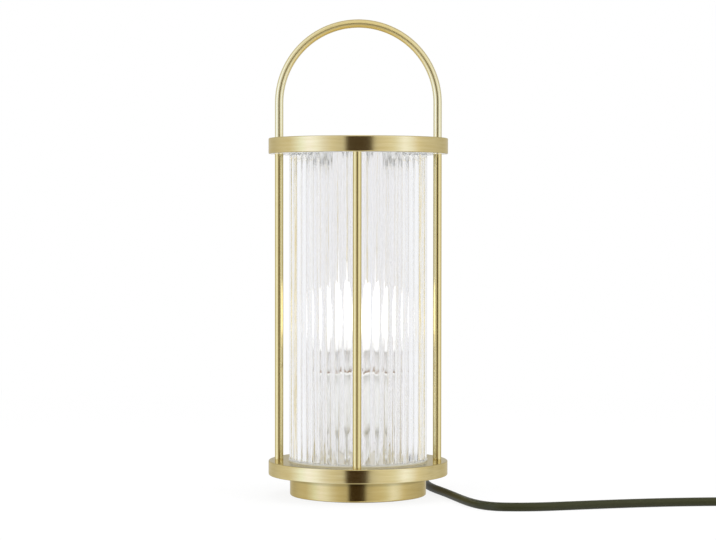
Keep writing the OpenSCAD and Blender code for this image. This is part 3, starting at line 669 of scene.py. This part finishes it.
globe_foot = foot_of("bulb_globe")
paint(glowing("globe_lit", globe_foot + GLOW_LOW, globe_foot + GLOW_HIGH), "bulb_globe")
print("bulb lit from", round(globe_foot, 4), "to", round(top_of("bulb_globe"), 4), "m")

# %% [markdown]
# The glass is clear, with upright ribs that bend what stands behind them, and fine draw marks. A ray that
# looks for a lamp passes straight through it, by the Is Shadow Ray trick, because otherwise everything inside
# would lie in the dark. A ray that comes from a mirroring surface, the glass's own wall too, passes straight
# on as well: between the walls it would be mirrored more often than the renderer follows it, and end black.

# %% Make the glass clear
DRAW_SCALE, DRAW_ALONG = 1500.0, 8.0
GLASS_TINT = (0.932, 0.93, 0.941)
PASSING_TINT = (0.96, 0.965, 0.97)


def clear_glass(name, tint):
    finish = Finish(name)
    east, north, up = finish.axes(finish.place)
    marks = finish.vector(east * DRAW_SCALE, north * DRAW_SCALE, up * DRAW_ALONG)
    drawn = finish.noise(marks, 1.0)
    shader = finish.surface(
        Base_Color=(*tint, 1.0),
        Roughness=drawn * 0.03 + 0.03,
        IOR=1.5,
        Transmission_Weight=1.0,
        Normal=finish.bump(drawn, 1.0, 0.15 * MM),
    )
    open_air = finish.node("ShaderNodeBsdfTransparent", inputs={"Color": (*PASSING_TINT, 1.0)})
    for share in finish.rays("Is Reflection Ray", "Is Shadow Ray"):
        shader = finish.node("ShaderNodeMixShader", inputs={0: share, 1: shader, 2: open_air})
    return finish.end(shader)


print("the glass finish is ready")

# %% [markdown]
# The glass is pressed: its inside is smooth and its outside is 48 half-round ribs. On the real lamp the ribs
# are in the mould, and here one rib is drawn as the outer arc of a circle, cut off at its two neighbours, and
# spun round the axis in 48 copies. Extruding that outline upward gives the outside, a second circle gives the
# bore, and bridging the two closes the rims. A small bevel stands for the fire-polished edges and for the
# rounded roots between the ribs.

# %% Draw one rib
RIB_COUNT = 48
RIB_R = 4.2 * MM
RIB_POINTS = 64
GLASS_WALL, GLASS_ROUNDING = 4.2 * MM, 0.25 * MM
half_step = math.pi / RIB_COUNT
glass_low, glass_high = foot_of("glass_cylinder"), top_of("glass_cylinder")
rib_centre_r = glass_r - RIB_R

glass = start(
    "ribbed_glass", bpy.ops.mesh.primitive_circle_add,
    vertices=RIB_POINTS, radius=RIB_R, location=(0, -rib_centre_r, glass_low),
)
bpy.ops.object.transform_apply(location=True)
bpy.ops.object.mode_set(mode="EDIT")
for side in (1, -1):
    bpy.ops.mesh.select_all(action="SELECT")
    bpy.ops.mesh.bisect(
        plane_co=(0, 0, glass_low),
        plane_no=(side * math.cos(half_step), math.sin(half_step), 0),
        clear_outer=True,
    )
bpy.ops.mesh.select_all(action="SELECT")
bpy.ops.mesh.bisect(plane_co=(0, -rib_centre_r, glass_low), plane_no=(0, 1, 0), clear_outer=True)
print("one rib has", len(glass.data.vertices), "points before the cuts")

# %% Spin the ribs and raise the walls
bpy.ops.mesh.select_all(action="SELECT")
bpy.ops.mesh.spin(steps=RIB_COUNT, dupli=True, angle=2 * math.pi, center=(0, 0, 0), axis=(0, 0, 1))
bpy.ops.mesh.select_all(action="SELECT")
bpy.ops.mesh.remove_doubles(threshold=0.02 * MM)
bpy.ops.object.mode_set(mode="OBJECT")
around = len(glass.data.vertices)
bpy.ops.object.mode_set(mode="EDIT")
bpy.ops.mesh.primitive_circle_add(vertices=around, radius=glass_r - GLASS_WALL, location=(0, 0, glass_low))
bpy.ops.mesh.select_all(action="SELECT")
bpy.ops.mesh.extrude_region_move(TRANSFORM_OT_translate={"value": (0, 0, glass_high - glass_low)})
for level in (glass_low, glass_high):
    pick_edges(glass, lambda end: abs(end.z - level) < MM / 2)
    bpy.ops.mesh.bridge_edge_loops()
bevelled(glass, GLASS_ROUNDING, angle=40)
finish_piece(glass, clear_glass("glass_ribbed", GLASS_TINT), angle=20)
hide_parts("glass_cylinder")
print(around, "points round the glass")

# %% [markdown]
# The lead's outlet and the plug's sleeve are moulded rubber with grooves that let them bend. Both are drawn
# as a lathe would cut them. A circle of points is the start, and each step of the outline is one extrusion
# that is then scaled to the next radius. The outline runs out along the outside and back through the bore, so
# that its last circle falls on the first, and merging the two closes the piece. The circle is picked by its
# vertices, so the helper sets that mode first. The plug's body is a plane that is extruded the same way, from
# one section to the next, and then rounded.

# %% Turn an outline along the lead
TURNED_POINTS = 48
OUTLET_Z = 9 * MM
BORE_R = LEAD_R + 0.05 * MM
GROOVE_PLACE = 0.6


def turned(name, x, z, outline):
    """A piece round an axis that runs along Y, from (y, radius) pairs in metres."""
    (first_y, first_r), *rest = outline
    made = start(
        name, bpy.ops.mesh.primitive_circle_add,
        vertices=TURNED_POINTS, radius=first_r, location=(x, first_y, z), rotation=(math.pi / 2, 0, 0),
    )
    bpy.ops.object.mode_set(mode="EDIT")
    bpy.ops.mesh.select_mode(type="VERT")
    bpy.ops.mesh.select_all(action="SELECT")
    y, radius = first_y, first_r
    for next_y, next_r in rest:
        bpy.ops.mesh.extrude_region()
        bpy.ops.transform.translate(value=(0, next_y - y, 0))
        grow = next_r / radius
        bpy.ops.transform.resize(value=(grow, 1, grow), center_override=(x, next_y, z))
        y, radius = next_y, next_r
    bpy.ops.mesh.select_all(action="SELECT")
    bpy.ops.mesh.remove_doubles(threshold=0.005 * MM)
    return made


def grooved(low, high, low_r, high_r, count, depth, width):
    """Points of a taper with square grooves cut round it."""
    points = [(low, low_r)]
    for i in range(count):
        share = (i + GROOVE_PLACE) / count
        y, r = low + (high - low) * share, low_r + (high_r - low_r) * share
        points += [(y, r), (y, r - depth), (y + width, r - depth), (y + width, r)]
    return [*points, (high, high_r)]


print("outlines can be turned along the lead")

# %% Mould the outlet
outlet_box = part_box("strain_relief")
FLANGE_T, FLANGE_R, LIP_R, NECK_R, END_R = 2 * MM, 7 * MM, 6.2 * MM, 5.6 * MM, 4.6 * MM
OUTLET_GROOVES = {"count": 5, "depth": 0.8 * MM, "width": 1.5 * MM}
OUTLET_ROUNDING = 0.25 * MM
outlet_in, outlet_out = outlet_box[0].y, outlet_box[1].y
outline = [
    (outlet_in, BORE_R), (outlet_in, LIP_R), (outlet_in + FLANGE_T, LIP_R), (outlet_in + FLANGE_T, NECK_R),
    (plinth_r, NECK_R), (plinth_r, FLANGE_R), (plinth_r + FLANGE_T, FLANGE_R),
    *grooved(plinth_r + FLANGE_T, outlet_out, LIP_R, END_R, **OUTLET_GROOVES),
    (outlet_out, BORE_R), (outlet_in, BORE_R),
]
outlet = turned("lead_outlet", 0, OUTLET_Z, outline)
bevelled(outlet, OUTLET_ROUNDING)
finish_piece(outlet, outlet_rubber)
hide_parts("strain_relief")

# %% Mould the plug
PLUG_X, PLUG_Z = 400.5 * MM, 6.9 * MM
PLUG_SECTIONS = [(65.5, 16.8, 12.8), (89.5, 35.0, 13.8), (100.3, 35.0, 13.8), (101.5, 33.0, 11.8)]
PLUG_ROUNDING = 5 * MM
sections = [tuple(v * MM for v in section) for section in PLUG_SECTIONS]
y, width, thick = sections[0]
plug = start(
    "plug", bpy.ops.mesh.primitive_plane_add,
    size=1, location=(PLUG_X, y, PLUG_Z), rotation=(math.pi / 2, 0, 0),
)
plug.scale = (width, thick, 1)
bpy.ops.object.transform_apply(location=True, rotation=True, scale=True)
bpy.ops.object.mode_set(mode="EDIT")
bpy.ops.mesh.select_all(action="SELECT")
for next_y, next_width, next_thick in sections[1:]:
    bpy.ops.mesh.extrude_region()
    bpy.ops.transform.translate(value=(0, next_y - y, 0))
    bpy.ops.transform.resize(
        value=(next_width / width, 1, next_thick / thick), center_override=(PLUG_X, next_y, PLUG_Z)
    )
    y, width, thick = next_y, next_width, next_thick
bpy.ops.mesh.select_all(action="SELECT")
bpy.ops.mesh.normals_make_consistent(inside=False)
bevelled(plug, PLUG_ROUNDING, segments=6, angle=50)
print("plug body:", len(plug.data.polygons), "faces")

# %% Turn the plug's sleeve and join the two
SLEEVE_BACK, SLEEVE_FRONT = 45.5 * MM, 66.5 * MM
SLEEVE_BACK_R, SLEEVE_FRONT_R = 4.4 * MM, 6.2 * MM
SLEEVE_GROOVES = {"count": 6, "depth": 0.7 * MM, "width": 1.4 * MM}
SLEEVE_ROUNDING = 0.2 * MM
sleeve = turned("plug_sleeve", PLUG_X, PLUG_Z, [
    (SLEEVE_BACK, BORE_R),
    *grooved(SLEEVE_BACK, SLEEVE_FRONT, SLEEVE_BACK_R, SLEEVE_FRONT_R, **SLEEVE_GROOVES),
    (SLEEVE_FRONT, BORE_R), (SLEEVE_BACK, BORE_R),
])
bevelled(sleeve, SLEEVE_ROUNDING)
bpy.ops.object.select_all(action="DESELECT")
sleeve.select_set(True)
plug.select_set(True)
bpy.context.view_layer.objects.active = plug
bpy.ops.object.join()
finish_piece(plug, plug_black)
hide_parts("plug_body")

# %% [markdown]
# The studio is a pale table that runs out of sight, with soft lamps. Metal shows what stands round it, and a
# white room alone would make it look like plaster. So the world holds the studio that reflections see: a dark
# gap in front, two bright banks of light at the sides, and a dimmer back. It's a function of direction alone,
# as a photographed surrounding would be. Only mirrored rays that haven't gone through the glass meet it, and
# every other ray meets plain white. The table isn't mirrored, because that function holds its light as well.
#
# What is seen of the table is mostly an even glow, and wholly so far out, which keeps it as pale as the air
# behind it. The rest is paper that takes the lamp's soft shade. The air lights the pieces with about half of
# the strength at which it is seen.

# %% Write the studio as brightness in each direction
BANKS = [
    (0.0, 0.6), (0.12, 0.55), (0.18, 0.66), (0.23, 0.7), (0.265, (0.84, 0.93, 1.13)),
    (0.285, (0.93, 1.1, 1.46)), (0.318, (1.07, 1.18, 1.8)), (0.35, (0.98, 1.1, 1.5)),
    (0.38, (0.8, 0.84, 1.02)), (0.41, 0.7), (0.437, 0.63), (0.5, 0.58), (0.56, 0.63), (0.575, 0.69),
    (0.605, 0.75), (0.634, (0.8, 0.84, 0.9)), (0.65, (0.88, 0.96, 1.2)), (0.672, (1.03, 1.14, 1.6)),
    (0.695, (0.95, 1.06, 1.42)), (0.715, (0.86, 0.9, 1.09)), (0.733, 0.76), (0.755, 0.68), (0.82, 0.61),
    (0.88, 0.53), (1.0, 0.6),
]
GAP = (0.04, 0.022, 0.007)
GAP_LEFT, GAP_RIGHT, GAP_SLANT, GAP_EDGE = 0.4575, 0.5505, 0.1, 0.014
GAP_LOW, GAP_HIGH, GAP_BLUR = -0.28, 0.16, 0.08
OVER_GAP, UNDER_GAP = (0.86, 0.86, 0.84), (0.46, 0.44, 0.33)


def studio_light(tree, direction):
    """Colour of the studio in a direction: banks at the sides, and a gap in front that isn't high."""
    east, north, up = tree.axes(direction)
    turn = east.maths("ARCTAN2", north * -1.0) / (2 * math.pi) + 0.5
    banks = tree.node("ShaderNodeValToRGB", {"stops": BANKS}, {"Fac": turn})
    past_left = ((turn - GAP_LEFT) / GAP_EDGE + 0.5).clamped()
    before_right = ((up * GAP_SLANT + GAP_RIGHT - turn) / GAP_EDGE + 0.5).clamped()
    in_front = past_left * before_right
    over = ((up - GAP_HIGH) / GAP_BLUR).clamped()
    under = ((GAP_LOW - up) / GAP_BLUR).clamped()
    lit = tree.mixed(in_front * under, tree.mixed(in_front * over, banks, OVER_GAP), UNDER_GAP)
    return tree.mixed(in_front * (1.0 - over) * (1.0 - under), lit, GAP)


print("the studio's light has", len(BANKS), "stops from behind, past the front, to behind")

# %% Lay the table
TABLE_SIZE = 60.0
TABLE_GLOW = 0.86
NEAR, FAR = 0.35, 1.2

bpy.ops.object.select_all(action="DESELECT")
bpy.ops.mesh.primitive_plane_add(size=TABLE_SIZE)
table = bpy.context.object
table.name = "table"
top = Finish("table_white")
seen, through = top.rays("Is Camera Ray", "Is Transmission Ray")
paper = top.node("ShaderNodeBsdfDiffuse", inputs={"Color": (0.9, 0.9, 0.9, 1.0)})
plain = top.node("ShaderNodeEmission", inputs={"Color": (1.0, 1.0, 1.0, 1.0)})
east, north = top.axes(top.place)[:2]
far = ((east * east + north * north).root() - NEAR) / (FAR - NEAR)
share = seen.larger(through) * (far.clamped() * (1 - TABLE_GLOW) + TABLE_GLOW)
table.data.materials.append(top.end(top.node("ShaderNodeMixShader", inputs={0: share, 1: paper, 2: plain})))
table.visible_glossy = False
print("table laid")

# %% Set the air and the lamps
AIR = 0.55
LAMP_MIDDLE = Vector((0, 0, 0.2))

world = bpy.data.worlds.new("air")
world.use_nodes = True
bpy.context.scene.world = world
air = Tree(world.node_tree)
seen, mirrored, through, bent = air.rays(
    "Is Camera Ray", "Is Glossy Ray", "Is Transmission Ray", "Transmission Depth"
)
strength = seen.larger(mirrored).larger(through) * (1 - AIR) + AIR
direction = air.node("ShaderNodeTexCoord", output="Generated")
not_through_glass = (mirrored - bent).clamped()
colour = air.mixed(not_through_glass, (1.0, 1.0, 1.0), studio_light(air, direction))
sky = air.node("ShaderNodeBackground", inputs={"Color": colour, "Strength": strength})
air.node("ShaderNodeOutputWorld", inputs={"Surface": sky})


def soft_lamp(name, place, size, power):
    """A square light that looks at the lamp's middle. Reflections and what the glass bends don't show it."""
    data = bpy.data.lights.new(name, "AREA")
    data.shape = "SQUARE"
    data.size = size
    data.energy = power
    made = bpy.data.objects.new(name, data)
    bpy.context.scene.collection.objects.link(made)
    made.location = place
    aim = LAMP_MIDDLE - Vector(place)
    made.rotation_euler = aim.to_track_quat("-Z", "Y").to_euler()
    made.visible_glossy = made.visible_transmission = False


soft_lamp("lamp_left", (-1.7, -1.2, 1.5), 1.4, 26)
soft_lamp("lamp_right", (1.8, -0.9, 1.3), 1.4, 21)
soft_lamp("lamp_above", (0.1, 0.5, 2.4), 1.8, 20)
soft_lamp("lamp_front", (0.3, -2.2, 0.7), 1.2, 12)
print("four soft lamps")
